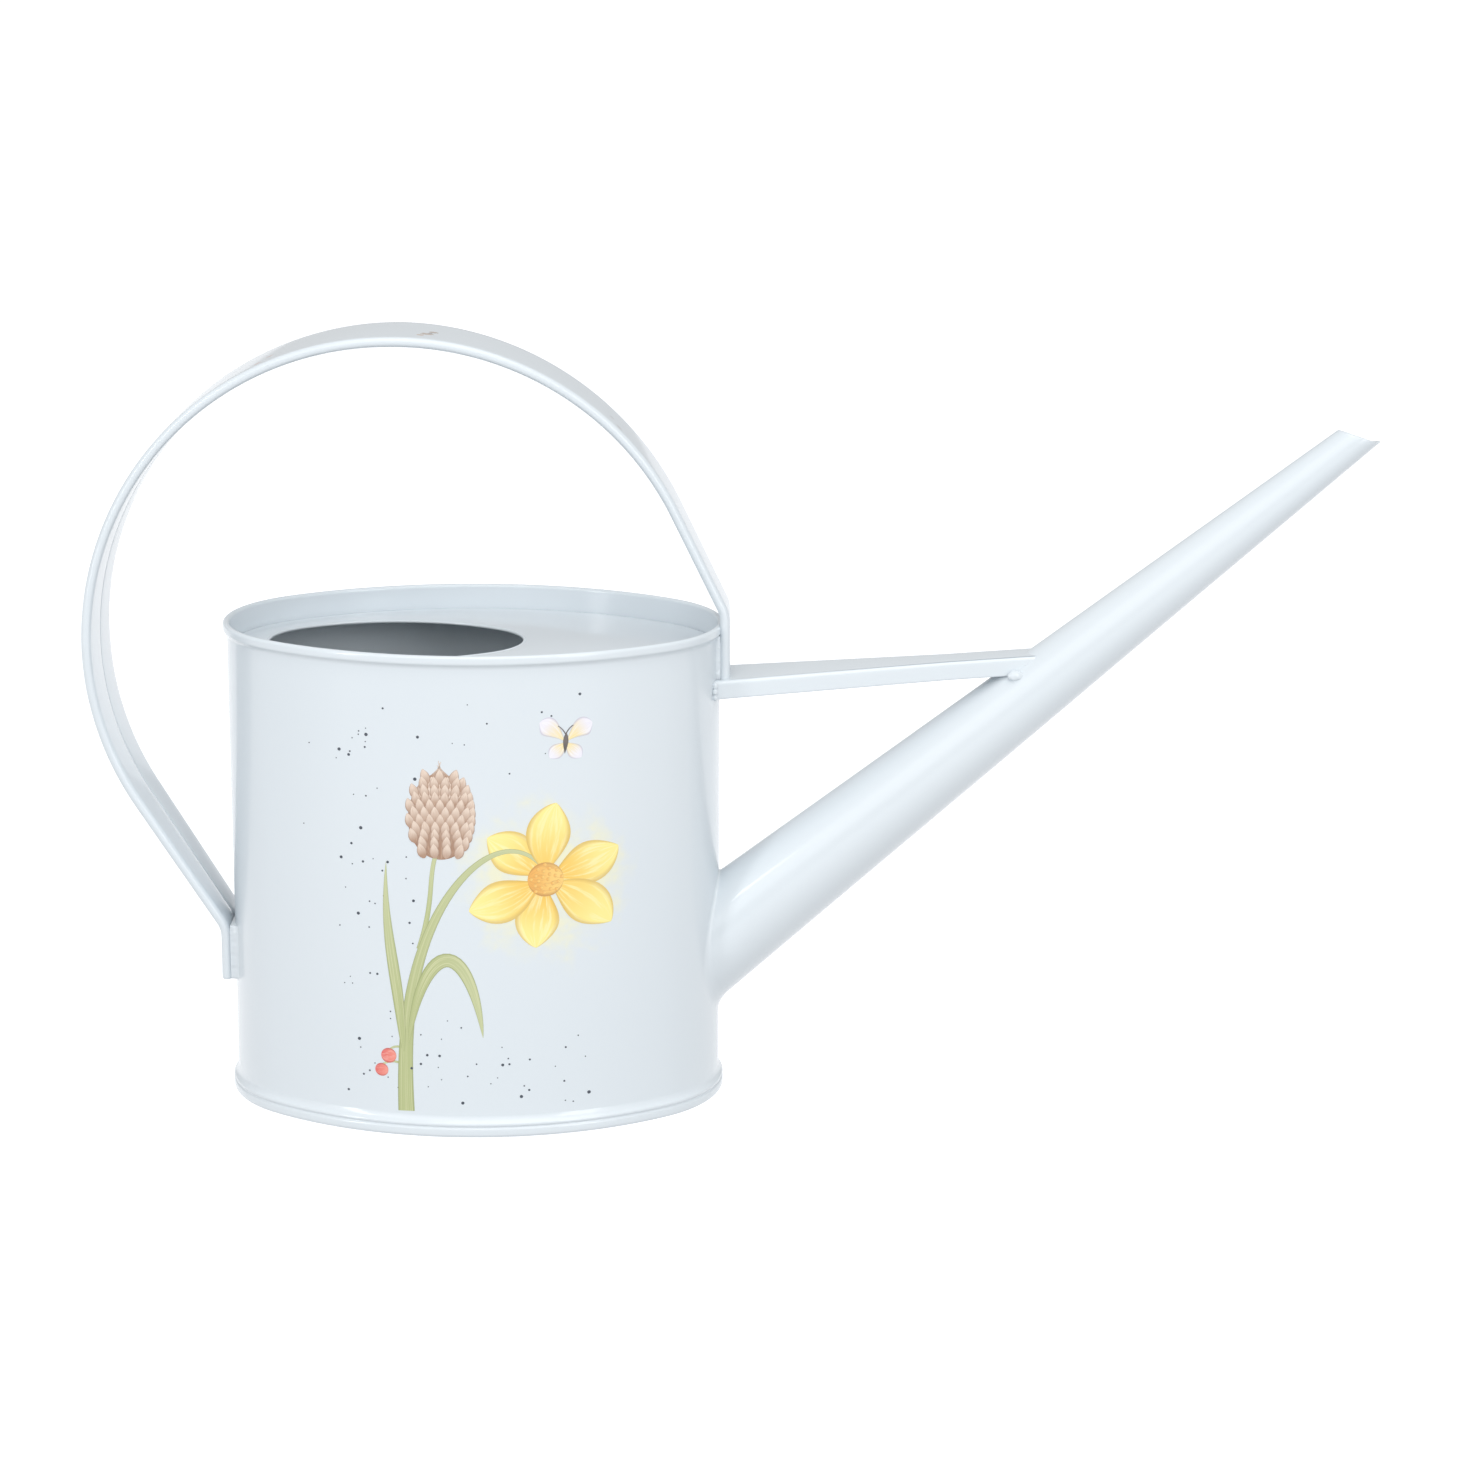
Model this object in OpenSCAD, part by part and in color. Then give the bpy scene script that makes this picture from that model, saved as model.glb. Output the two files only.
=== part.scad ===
// Watering can of painted sheet steel: oval body, half-closed top, straight spout, brace and loop handle.
// Millimetres. The origin is the middle of the base, +X points at the spout, +Z is up.

/* [Sheet] */
// Thickness of the sheet of the body, base, cover, spout and brace
sheet = 0.8; // [0.5:0.1:1.2]

/* [Body] */
// Length of the body from end to end, over the plain wall
body_length = 148; // [110:1:200]
// Depth of the body from front to back, over the plain wall
body_depth = 100; // [70:1:140]
// Radius of the two rounded ends of the oval
end_radius = 38; // [30:0.5:46]
// Height of the middle of the rolled rim above the ground
rim_height = 145; // [100:1:200]
// Width of the soldered lap joint inside the wall at the handle end
lap_width = 9; // [5:0.5:14]

/* [Rolled rim] */
// Half thickness of the rolled rim, which is flush with the inside of the wall
rim_radius = 1; // [0.8:0.1:1.4]
// Height of the flat of the rolled rim between its rounded top and bottom
rim_flat = 1; // [0.2:0.1:2]
// Radius of the steel wire the rim is rolled around
wire_radius = 0.5; // [0.3:0.05:0.7]

/* [Base] */
// Height of the seam that holds the base pan to the wall
seam_height = 4.2; // [3:0.1:6]
// How far the base seam stands out from the wall
seam_out = 1.5; // [1:0.1:2.5]
// Height of the top face of the floor above the ground
floor_height = 4; // [3:0.1:6]
// Thickness of the folded foot under the wall
foot_thickness = 1; // [0.8:0.1:1.4]
// Corner radius of the base seam
seam_corner = 0.8; // [0.4:0.1:1]

/* [Top cover] */
// Height of the top face of the cover above the ground
cover_height = 139; // [90:1:190]
// Depth of the turned-down flange of the cover
cover_flange = 5; // [3:0.5:10]
// Length of the filling opening along the body
opening_length = 76; // [50:1:90]
// Width of the filling opening across the body
opening_width = 52; // [36:1:64]
// Radius of the two rounded ends of the filling opening
opening_end_radius = 20; // [14:0.5:26]
// How far the middle of the opening lies from the middle of the body, towards the handle
opening_shift = 23.3; // [10:0.1:35]
// Radius of the rolled hem around the opening
hem_radius = 0.5; // [0.4:0.1:1.4]
// How far the hem stands above the cover
hem_rise = 0.15; // [0.05:0.05:0.5]

/* [Spout] */
// Slope of the middle line of the spout above the horizontal, degrees
spout_slope = 39.43; // [25:0.1:60]
// Height of the middle line of the spout where it meets the wall
spout_root_height = 48.5; // [35:0.5:80]
// Radius of the spout where its middle line meets the wall
spout_root_radius = 15.5; // [10:0.1:20]
// Radius of the spout at its cut end
spout_tip_radius = 5.3; // [3:0.1:9]
// Length of the middle line of the spout outside the wall
spout_length = 244; // [120:1:300]
// Tilt of the cut end below the horizontal, degrees
tip_cut_tilt = 18.9; // [0:0.1:50]
// Size of the solder bead around the root of the spout
solder_size = 1.3; // [0.8:0.1:2.5]

/* [Spout brace] */
// Half width of the brace at the body
brace_half_root = 11.3; // [8:0.1:14]
// Half width of the brace at the spout
brace_half_tip = 5.8; // [4:0.1:8]
// Depth of the flanges of the brace, over the top
brace_depth = 5.6; // [4:0.1:9]
// Height of the top of the brace at the body
brace_height = 130; // [90:0.5:180]
// Slope of the brace above the horizontal, degrees
brace_slope = 4.4; // [0:0.1:12]
// Length over which the brace narrows
brace_taper_length = 72; // [40:1:90]

/* [Handle] */
// Thickness of the folded strip
strip_thickness = 3; // [2.4:0.1:4]
// Thickness of each fold of the strip
strip_sheet = 0.9; // [0.6:0.1:1.1]
// Width of the strip at the grip
grip_width = 34; // [18:0.5:40]
// Width of the strip at its front end
front_width = 18; // [12:0.5:26]
// Width of the strip at its rear end
rear_width = 25; // [12:0.5:34]
// Width of the open joint between the two hems, on the inner side
hem_gap = 0.8; // [0.4:0.1:1.6]
// Radius of the loop to the middle of the strip
loop_radius = 92; // [70:0.1:120]
// Distance of the middle of the loop behind the middle of the body
loop_back = 22; // [0:0.1:40]
// Height of the middle of the loop
loop_height = 140; // [110:0.1:190]
// Angle above the horizontal at which the loop turns straight at the front, degrees
front_angle = 26; // [15:1:40]
// Angle below the horizontal at which the loop turns straight at the rear, degrees
rear_angle = 32; // [20:0.5:45]
// Height of the lower end of the front tab
front_tab_end = 126; // [90:1:140]
// Height of the lower end of the rear tab
rear_tab_end = 36; // [15:0.1:60]
// Gap between a tab and the wall at its closest
tab_gap = 0.05; // [0.05:0.05:0.3]

/* [Welds] */
// Radius of the weld runs along the tabs and the brace flanges
weld_radius = 1.2; // [0.8:0.1:1.6]
// Length of the weld runs along the tabs
weld_length = 8; // [4:0.5:16]
// Distance of the weld runs of a tab from its middle line
weld_spread = 6.6; // [4:0.1:7.5]
// Radius of the weld blobs between the brace and the spout
blob_radius = 2.2; // [1.2:0.1:3]

/* [Hidden] */
$fn = 180;
far = 400;
half_length = body_length / 2;
half_depth = body_depth / 2;
// The side arc radius that makes the four arcs of an oval meet in one tangent.
function side_radius(a, b, r) = (pow(a - r, 2) + b * b - r * r) / (2 * (b - r));
// The direction, seen from the middle of an end arc, in which it meets the side arc.
function join_way(a, b, r) =
    [a - r, side_radius(a, b, r) - b] / (side_radius(a, b, r) - r);
wall_bottom = foot_thickness;
// How far the middle of the rolled rim lies outside the outer face of the wall.
rim_out = rim_radius - sheet;
spout_reach = 20;
spout_taper = (spout_root_radius - spout_tip_radius) / spout_length;
spout_overrun = 16;
tip_x = half_length + spout_length * cos(spout_slope);
tip_z = spout_root_height + spout_length * sin(spout_slope);
half_strip = strip_thickness / 2;
hollow = half_strip - strip_sheet;
overlap = 0.01;
front_tab_x = half_length + tab_gap + half_strip;
rear_tab_x = -half_length - tab_gap - half_strip;
arc_front = [
    loop_radius * cos(front_angle) - loop_back,
    loop_height + loop_radius * sin(front_angle)];
arc_rear = [
    -loop_radius * cos(rear_angle) - loop_back,
    loop_height - loop_radius * sin(rear_angle)];
front_run = (front_tab_x - arc_front[0]) / sin(front_angle);
rear_run = (rear_tab_x - arc_rear[0]) / sin(rear_angle);
front_bend = [front_tab_x, arc_front[1] - front_run * cos(front_angle)];
rear_bend = [rear_tab_x, arc_rear[1] - rear_run * cos(rear_angle)];
paint = [0.87, 0.91, 0.94];
steel = [0.72, 0.73, 0.74];
solder = [0.84, 0.88, 0.91];

// An oval of four arcs, grown outwards by "grow".
module oval(a, b, r, grow) {
    side = side_radius(a, b, r);
    reach = a - r + (r + grow) * join_way(a, b, r)[0];
    intersection() {
        translate([0, side - b]) circle(r = side + grow);
        translate([0, b - side]) circle(r = side + grow);
        square([2 * reach, 2 * (b + grow)], center = true);
    }
    for (end = [-1, 1])
        translate([end * (a - r), 0]) circle(r = r + grow);
}

module body_oval(grow) {
    oval(half_length, half_depth, end_radius, grow);
}

// Sweeps a cross-section around an oval; its x is the distance outwards from the oval.
module around(a, b, r) {
    side = side_radius(a, b, r);
    way = 2 * a * join_way(a, b, r);
    for (turn = [1, -1]) {
        intersection() {
            translate([turn * (a - r), 0, 0])
                rotate_extrude() translate([r, 0]) children();
            linear_extrude(height = far)
                polygon([
                    [turn * (a - r), 0],
                    [turn * (a - r + way[0]), way[1]],
                    [turn * (a - r + way[0]), -way[1]]]);
        }
        intersection() {
            translate([0, turn * (b - side), 0])
                rotate_extrude() translate([side, 0]) children();
            linear_extrude(height = far)
                polygon([
                    [0, turn * (b - side)],
                    [way[0], turn * (b - side + way[1])],
                    [-way[0], turn * (b - side + way[1])]]);
        }
    }
}

module around_body() {
    around(half_length, half_depth, end_radius) children();
}

// Everything inside the outer face of the wall.
module body_solid() {
    linear_extrude(height = far) body_oval(0);
}

// A cone along the spout, its skin moved outwards by "grow".
module spout_cone(grow) {
    start = spout_root_radius + spout_taper * spout_reach + grow;
    stop = spout_tip_radius - spout_taper * spout_overrun + grow;
    translate([half_length, 0, spout_root_height])
        rotate([0, 90 - spout_slope, 0])
            translate([0, 0, -spout_reach])
                cylinder(h = spout_reach + spout_length + spout_overrun, r1 = start, r2 = stop);
}

// The cross-section of the rolled rim, an upright slot with round ends.
module rim_section() {
    for (z = [-rim_flat, rim_flat] / 2)
        translate([rim_out, rim_height + z]) circle(r = rim_radius);
    translate([rim_out, rim_height]) square([2 * rim_radius, rim_flat], center = true);
}

module wire_section() {
    translate([rim_out, rim_height]) circle(r = wire_radius);
}

module body_wall() {
    color(paint) difference() {
        union() {
            translate([0, 0, wall_bottom])
                linear_extrude(height = rim_height - wall_bottom)
                    difference() {
                        body_oval(0);
                        body_oval(-sheet);
                    }
            around_body() rim_section();
            intersection() {
                translate([-half_length, -lap_width / 2, floor_height])
                    cube([end_radius / 2, lap_width, cover_height - sheet - cover_flange - floor_height]);
                linear_extrude(height = rim_height)
                    difference() {
                        body_oval(0);
                        body_oval(-2 * sheet);
                    }
            }
        }
        around_body() wire_section();
        spout_cone(-sheet);
    }
}

module rim_wire() {
    color(steel) around_body() wire_section();
}

module base_pan() {
    color(paint) {
        around_body() difference() {
            union() {
                translate([-2 * sheet, 0]) square([2 * sheet + seam_out - seam_corner, foot_thickness]);
                translate([-2 * sheet, 0]) square([sheet, floor_height]);
                translate([0, seam_corner]) square([seam_out, seam_height - 2 * seam_corner]);
                translate([0, foot_thickness]) square([seam_out - seam_corner, seam_height - foot_thickness]);
                for (z = [seam_corner, seam_height - seam_corner])
                    translate([seam_out - seam_corner, z]) circle(r = seam_corner);
            }
            translate([-sheet, foot_thickness]) square([sheet, seam_height]);
        }
        translate([0, 0, floor_height - sheet])
            linear_extrude(height = sheet)
                body_oval(-2 * sheet);
    }
}

module top_cover() {
    a = opening_length / 2;
    b = opening_width / 2;
    color(paint) {
        translate([0, 0, cover_height - sheet])
            linear_extrude(height = sheet)
                difference() {
                    body_oval(-sheet);
                    translate([-opening_shift, 0]) oval(a, b, opening_end_radius, hem_radius);
                }
        translate([0, 0, cover_height - sheet - cover_flange])
            linear_extrude(height = cover_flange)
                difference() {
                    body_oval(-sheet);
                    body_oval(-2 * sheet);
                }
        translate([-opening_shift, 0, 0])
            around(a, b, opening_end_radius)
                translate([hem_radius, cover_height + hem_rise - hem_radius])
                    circle(r = hem_radius);
    }
}

module spout() {
    color(paint) difference() {
        spout_cone(0);
        spout_cone(-sheet);
        body_solid();
        translate([tip_x, 0, tip_z])
            rotate([0, tip_cut_tilt, 0])
                translate([-50, -50, 0])
                    cube([100, 100, 50]);
    }
}

module spout_solder() {
    color(solder) difference() {
        intersection() {
            spout_cone(solder_size);
            linear_extrude(height = far) body_oval(solder_size);
        }
        spout_cone(0);
        body_solid();
    }
}

// The plan outline of the brace, moved inwards by "inset".
module brace_plan(inset) {
    polygon([
        [0, inset - brace_half_root],
        [brace_taper_length, inset - brace_half_tip],
        [120, inset - brace_half_tip],
        [120, brace_half_tip - inset],
        [brace_taper_length, brace_half_tip - inset],
        [0, brace_half_root - inset]]);
}

module brace_channel() {
    translate([half_length - 4, 0, brace_height])
        rotate([0, -brace_slope, 0])
            translate([0, 0, -brace_depth])
                difference() {
                    linear_extrude(height = brace_depth) brace_plan(0);
                    translate([0, 0, -sheet]) linear_extrude(height = brace_depth) brace_plan(sheet);
                }
}

module spout_brace() {
    color(paint) difference() {
        brace_channel();
        body_solid();
        spout_cone(0);
        translate([half_length - 10, -front_width / 2, 0])
            cube([10 + front_tab_x + half_strip - half_length, front_width, far]);
        translate([half_length + 120 * cos(brace_slope) - 22, -20, 0]) cube([far, 40, far]);
    }
}

// The side outline of the strip between two distances from its middle line, outwards positive.
module strip_side(low, high) {
    translate([-loop_back, loop_height]) intersection() {
        difference() {
            circle(r = loop_radius + high);
            circle(r = loop_radius + low);
        }
        polygon([
            [0, 0],
            far * [cos(front_angle), sin(front_angle)],
            [far, far],
            [-far, far],
            [-far, -far * tan(rear_angle)]]);
    }
    translate(front_bend)
        rotate([0, 0, 90 + front_angle])
            translate([0, -high]) square([front_run + overlap, high - low]);
    translate(rear_bend)
        rotate([0, 0, 90 + rear_angle])
            translate([0, low]) square([rear_run + overlap, high - low]);
    translate([front_tab_x + low, front_tab_end]) square([high - low, front_bend[1] - front_tab_end]);
    translate([rear_tab_x - high, rear_tab_end]) square([high - low, rear_bend[1] - rear_tab_end]);
}

// A strip cut to the tapering width of the handle, its edges moved inwards by "inset".
module strip(low, high, inset) {
    grip = grip_width / 2 - inset;
    front = front_width / 2 - inset;
    rear = rear_width / 2 - inset;
    intersection() {
        rotate([90, 0, 0])
            linear_extrude(height = grip_width, center = true) {
                strip_side(low, high);
                for (bend = [front_bend, rear_bend]) translate(bend) circle(r = high);
            }
        linear_extrude(height = far)
            polygon([
                [-far, -grip], [-loop_back, -grip], [front_bend[0] - 4, -front], [far, -front],
                [far, front], [front_bend[0] - 4, front], [-loop_back, grip], [-far, grip]]);
        rotate([90, 0, 90])
            linear_extrude(height = far, center = true)
                polygon([
                    [-rear, 0], [-rear, rear_bend[1]], [-grip, loop_height], [-grip, far],
                    [grip, far], [grip, loop_height], [rear, rear_bend[1]], [rear, 0]]);
    }
}

module handle() {
    color(paint) difference() {
        strip(-half_strip, half_strip, 0);
        strip(-hollow, hollow, strip_sheet);
        rotate([90, 0, 0])
            linear_extrude(height = hem_gap, center = true)
                strip_side(-2 * half_strip, -hollow / 2);
        around_body() rim_section();
    }
}

// Two weld runs in the narrowing gaps between the wall and a tab, on either side of its middle.
module tab_welds(end, half_width, bottom) {
    color(solder) for (side = [-1, 1])
        difference() {
            translate([end * (half_length - 0.2), side * weld_spread, bottom])
                cylinder(h = weld_length, r = weld_radius);
            body_solid();
            translate([end * (half_length + tab_gap + 5) - 5, -half_width, 0])
                cube([10, 2 * half_width, far]);
        }
}

module front_tab_welds() {
    tab_welds(1, front_width / 2, brace_height + 3);
}

module rear_tab_welds() {
    tab_welds(-1, rear_width / 2, rear_tab_end + 4);
}

// The full outside of the brace, without its hollow.
module brace_block() {
    translate([half_length - 4, 0, brace_height])
        rotate([0, -brace_slope, 0])
            translate([0, 0, -brace_depth])
                linear_extrude(height = brace_depth) brace_plan(0);
}

module brace_foot_welds() {
    color(solder) for (side = [-1, 1])
        difference() {
            translate([half_length - 1.6, side * brace_half_root, brace_height - brace_depth + 0.6])
                cylinder(h = brace_depth - 1.2, r = weld_radius);
            body_solid();
            brace_block();
        }
}

module brace_tip_welds() {
    color(solder) for (side = [-1, 1])
        difference() {
            translate([half_length + 88.5, side * (brace_half_tip + 1.4), brace_height + 1.6])
                sphere(r = blob_radius);
            spout_cone(0);
            brace_block();
        }
}

body_wall();
rim_wire();
base_pan();
top_cover();
spout();
spout_solder();
spout_brace();
handle();
front_tab_welds();
rear_tab_welds();
brace_foot_welds();
brace_tip_welds();
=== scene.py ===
import math

import bmesh
import bpy
import numpy as np
from mathutils import Matrix, Vector, noise


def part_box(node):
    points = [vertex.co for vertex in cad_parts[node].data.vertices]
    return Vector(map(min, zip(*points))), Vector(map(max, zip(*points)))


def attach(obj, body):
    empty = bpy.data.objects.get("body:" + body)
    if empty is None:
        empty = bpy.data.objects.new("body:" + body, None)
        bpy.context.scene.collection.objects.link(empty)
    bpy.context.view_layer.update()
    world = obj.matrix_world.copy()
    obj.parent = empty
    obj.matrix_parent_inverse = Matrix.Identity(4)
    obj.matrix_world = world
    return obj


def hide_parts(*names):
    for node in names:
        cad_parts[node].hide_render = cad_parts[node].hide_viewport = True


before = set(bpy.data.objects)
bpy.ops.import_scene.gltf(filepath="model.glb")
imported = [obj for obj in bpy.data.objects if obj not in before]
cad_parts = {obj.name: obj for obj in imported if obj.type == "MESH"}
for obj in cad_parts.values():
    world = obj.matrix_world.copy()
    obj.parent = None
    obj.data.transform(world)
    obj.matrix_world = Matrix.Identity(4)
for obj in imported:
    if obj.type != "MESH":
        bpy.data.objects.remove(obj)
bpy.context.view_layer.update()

# Everything is in metres. The can stands on z = 0, its spout points along +X and its front faces -Y.
MM = 0.001

wall_low, wall_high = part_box("body_wall")
base_low, base_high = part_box("base_pan")
cover_low, cover_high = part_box("top_cover")
handle_low, handle_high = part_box("handle")

# Sheet and rolled edges
SHEET = 0.8 * MM
RIM_RADIUS = 1 * MM
RIM_FLAT = 1 * MM
RIM_OUT = RIM_RADIUS - SHEET
HEM_RADIUS = 0.5 * MM
HEM_RISE = 0.15 * MM

# Body
END_RADIUS = 38 * MM
half_length = wall_high.x - RIM_RADIUS - RIM_OUT
half_depth = wall_high.y - RIM_RADIUS - RIM_OUT
rim_height = wall_high.z - RIM_RADIUS - RIM_FLAT / 2
cover_top = cover_high.z - HEM_RISE
floor_top = 4 * MM
OPENING = (38 * MM, 26 * MM, 20 * MM)
OPENING_SHIFT = 23.3 * MM
COVER_DOME = 0.9 * MM

# Spout
SPOUT_SLOPE = math.radians(39.43)
SPOUT_ROOT = np.array([half_length, 0, 48.5 * MM])
SPOUT_ROOT_RADIUS = 15.5 * MM
SPOUT_TIP_RADIUS = 5.3 * MM
SPOUT_LENGTH = 244 * MM
TIP_CUT_TILT = math.radians(18.9)
TIP_CUT_LEAN = 0.1
TIP_BEAK = 0.9 * MM
spout_taper = (SPOUT_ROOT_RADIUS - SPOUT_TIP_RADIUS) / SPOUT_LENGTH
spout_way = np.array([math.cos(SPOUT_SLOPE), 0, math.sin(SPOUT_SLOPE)])
spout_up = np.array([-math.sin(SPOUT_SLOPE), 0, math.cos(SPOUT_SLOPE)])

# Brace
BRACE_SLOPE = math.radians(4.4)
BRACE_START = np.array([half_length - 4 * MM, 0, 130 * MM])
BRACE_DEPTH = 5.6 * MM
BRACE_HALF_ROOT = 11.3 * MM
BRACE_HALF_TIP = 5.8 * MM
BRACE_TAPER_LENGTH = 72 * MM

# Handle
LOOP_RADIUS = 92 * MM
LOOP_BACK = 22 * MM
LOOP_HEIGHT = 140 * MM
FRONT_ANGLE = math.radians(26)
REAR_ANGLE = math.radians(32)
HALF_STRIP = 1.5 * MM
HALF_GRIP = handle_high.y
HALF_FRONT = 9 * MM
HALF_REAR = 12.5 * MM
HEM_GAP = 0.65 * MM
front_tab_x = handle_high.x - HALF_STRIP
rear_tab_x = -front_tab_x
FRONT_TAB_END = 126 * MM
REAR_TAB_END = handle_low.z


# ---------------------------------------------------------------- meshes

def link(data, name):
    """A new object in the scene for a mesh, a camera or a light."""
    piece = bpy.data.objects.new(name, data)
    bpy.context.scene.collection.objects.link(piece)
    return piece


def smooth(mesh, sharp=32):
    """Smooth shading that keeps the creases sharper than an angle in degrees."""
    mesh.polygons.foreach_set("use_smooth", [True] * len(mesh.polygons))
    mesh.set_sharp_from_angle(angle=math.radians(sharp))


def skin(name, rows, loop=False, caps="", sharp=32):
    """A closed solid through rings of points. loop joins the last ring to the first; caps closes the ends."""
    rows = [np.asarray(row, float) for row in rows]
    count = len(rows[0])
    points = np.concatenate(rows)
    last = len(rows) if loop else len(rows) - 1
    faces = []
    for row in range(last):
        low = row * count
        high = (row + 1) % len(rows) * count
        for i in range(count):
            j = (i + 1) % count
            faces.append((low + i, low + j, high + j, high + i))
    if not loop:
        for first in (0, (len(rows) - 1) * count):
            if caps == "strip":
                half = count // 2
                for i in range(half - 1):
                    far = count - 1 - i
                    faces.append((first + i, first + i + 1, first + far - 1, first + far))
            else:
                faces.append(tuple(first + i for i in range(count)))
    mesh = bpy.data.meshes.new(name)
    mesh.from_pydata(points.tolist(), [], faces)
    mesh.validate()
    turn_outwards(mesh)
    smooth(mesh, sharp)
    return link(mesh, name)


def turn_outwards(mesh):
    """Points every face out of the solid that it bounds."""
    shape = bmesh.new()
    shape.from_mesh(mesh)
    bmesh.ops.recalc_face_normals(shape, faces=shape.faces)
    shape.to_mesh(mesh)
    shape.free()


def cut(piece, cutter, sharp=32):
    """Takes the cutter's volume out of the piece and removes the cutter."""
    modifier = piece.modifiers.new("cut", "BOOLEAN")
    modifier.operation = "DIFFERENCE"
    modifier.solver = "EXACT"
    modifier.object = cutter
    bpy.context.view_layer.update()
    done = piece.evaluated_get(bpy.context.evaluated_depsgraph_get())
    mesh = bpy.data.meshes.new_from_object(done)
    piece.modifiers.clear()
    old = piece.data
    piece.data = mesh
    bpy.data.meshes.remove(old)
    bpy.data.objects.remove(cutter)
    smooth(mesh, sharp)


def arc(centre, radius, start, stop, count):
    """Points along an arc in a profile, between two angles in degrees."""
    turns = np.radians(np.linspace(start, stop, count))
    return [(centre[0] + radius * math.cos(t), centre[1] + radius * math.sin(t)) for t in turns]


def line(start, stop, count):
    """Points between two profile points, without the first."""
    steps = np.linspace(0, 1, count + 1)[1:]
    return [tuple(np.array(start) + s * (np.array(stop) - np.array(start))) for s in steps]


def ease(value, low, high):
    """0 below low, 1 above high, smooth between them."""
    t = np.clip((value - low) / (high - low), 0, 1)
    return t * t * (3 - 2 * t)


def find(outside, low, high, steps=42):
    """Where a falling test changes sign between low and high, for a whole array at once."""
    low, high = low.copy(), high.copy()
    for _ in range(steps):
        middle = (low + high) / 2
        out = outside(middle)
        low = np.where(out, middle, low)
        high = np.where(out, high, middle)
    return (low + high) / 2


# ---------------------------------------------------------------- body

RING_COUNT = 480


def oval_side(half_long, half_wide, end_radius):
    """The radius of the long arcs that meet an oval's end arcs smoothly."""
    return ((half_long - end_radius) ** 2 + half_wide**2 - end_radius**2) / (2 * (half_wide - end_radius))


def oval(half_long, half_wide, end_radius, turns):
    """Points of a four-arc oval that face the given directions, and those directions."""
    side = oval_side(half_long, half_wide, end_radius)
    join = (half_long - end_radius) / (side - end_radius)
    ways = np.stack([np.cos(turns), np.sin(turns)], -1)
    at_end = np.abs(ways[:, 0]) > join
    centres = np.where(
        at_end[:, None],
        np.stack([np.sign(ways[:, 0]) * (half_long - end_radius), 0 * turns], -1),
        np.stack([0 * turns, np.sign(ways[:, 1]) * (half_wide - side)], -1),
    )
    radii = np.where(at_end, end_radius, side)
    return centres + radii[:, None] * ways, ways


ring_turns = np.linspace(0, 2 * math.pi, RING_COUNT, endpoint=False)
body_ring, body_ways = oval(half_length, half_depth, END_RADIUS, ring_turns)
side_radius = oval_side(half_length, half_depth, END_RADIUS)


def ripple(turns, height):
    """The slight unevenness of rolled sheet; it fades out towards the stiff edges."""
    fade = ease(height, 6 * MM, 30 * MM) * (1 - ease(height, 115 * MM, 139 * MM))
    waves = np.sin(3 * turns + 1.1) * np.sin(height * 38 + 0.4) + 0.6 * np.sin(7 * turns - 0.5 + height * 21)
    return 0.045 * MM * fade * waves


def around(profile, ring=body_ring, ways=body_ways, turns=ring_turns):
    """Rings from a profile of (distance outwards, height)."""
    rows = []
    for out, height in profile:
        grow = out + (ripple(turns, height) if turns is not None else 0)
        flat = ring + np.reshape(grow, (-1, 1)) * ways
        rows.append(np.column_stack([flat, np.full(len(ring), height)]))
    return rows


def make_wall():
    """The wall sheet. Its top edge is rolled outwards and stays flush inside; a hole leads into the spout."""
    fillet = 1.8 * MM
    bottom = 1 * MM
    low, high = rim_height - RIM_FLAT / 2, rim_height + RIM_FLAT / 2
    drop = math.sqrt((RIM_RADIUS + fillet) ** 2 - (fillet - RIM_OUT) ** 2)
    turn = math.degrees(math.atan2(-drop, fillet - RIM_OUT))
    outer = [(0, bottom)] + line((0, bottom), (0, low - drop), 36)
    outer += arc((fillet, low - drop), fillet, 180, 180 + turn, 7)[1:]
    outer += arc((RIM_OUT, low), RIM_RADIUS, turn, 0, 9)[1:]
    outer += arc((RIM_OUT, high), RIM_RADIUS, 0, 180, 22)
    rows = around(outer)
    # The sheet's end laps under itself inside the handle end, between the floor and the cover.
    lap = 1 - ease(np.abs(body_ring[:, 1]), 4.1 * MM, 4.7 * MM)
    lap = np.where(body_ring[:, 0] < 0, lap, 0)
    for out, height in line((-SHEET, high), (-SHEET, bottom), 40):
        under = ease(cover_low.z - height, 0, 1 * MM) * ease(height, floor_top, floor_top + 1 * MM)
        grow = out + ripple(ring_turns, height) - lap * under * SHEET
        flat = body_ring + grow[:, None] * body_ways
        rows.append(np.column_stack([flat, np.full(RING_COUNT, height)]))
    wall = skin("wall_with_rolled_rim", rows, loop=True)
    cutter = skin("hole_cutter", [cone_ring(s, -SHEET) for s in (-20 * MM, 15 * MM)])
    cut(wall, cutter)
    return wall


def seam_profile(top):
    """The outside of the base seam: a flare, two soft ridges with a groove between them, a round corner."""
    slope = 50
    lean = np.array([math.cos(math.radians(slope)), math.sin(math.radians(slope))])
    mirror = lean * [1, -1]
    flare, ridge, groove, bead, corner = 3.4 * MM, 0.7 * MM, 0.35 * MM, 0.8 * MM, 1.2 * MM
    centre = np.array([flare - 0.06 * MM, top + 3 * MM])
    points = arc(centre, flare, 180, 180 + slope, 9)
    centre = centre - (flare + ridge) * lean
    points += arc(centre, ridge, slope, -slope, 9)[1:]
    centre = centre + (ridge + groove) * mirror
    points += arc(centre, groove, 180 - slope, 180 + slope, 7)[1:]
    centre = centre - (groove + bead) * lean
    points += arc(centre, bead, slope, 0, 6)[1:]
    points += arc((centre[0] + bead - corner, corner), corner, 0, -90, 9)
    return points


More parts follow.
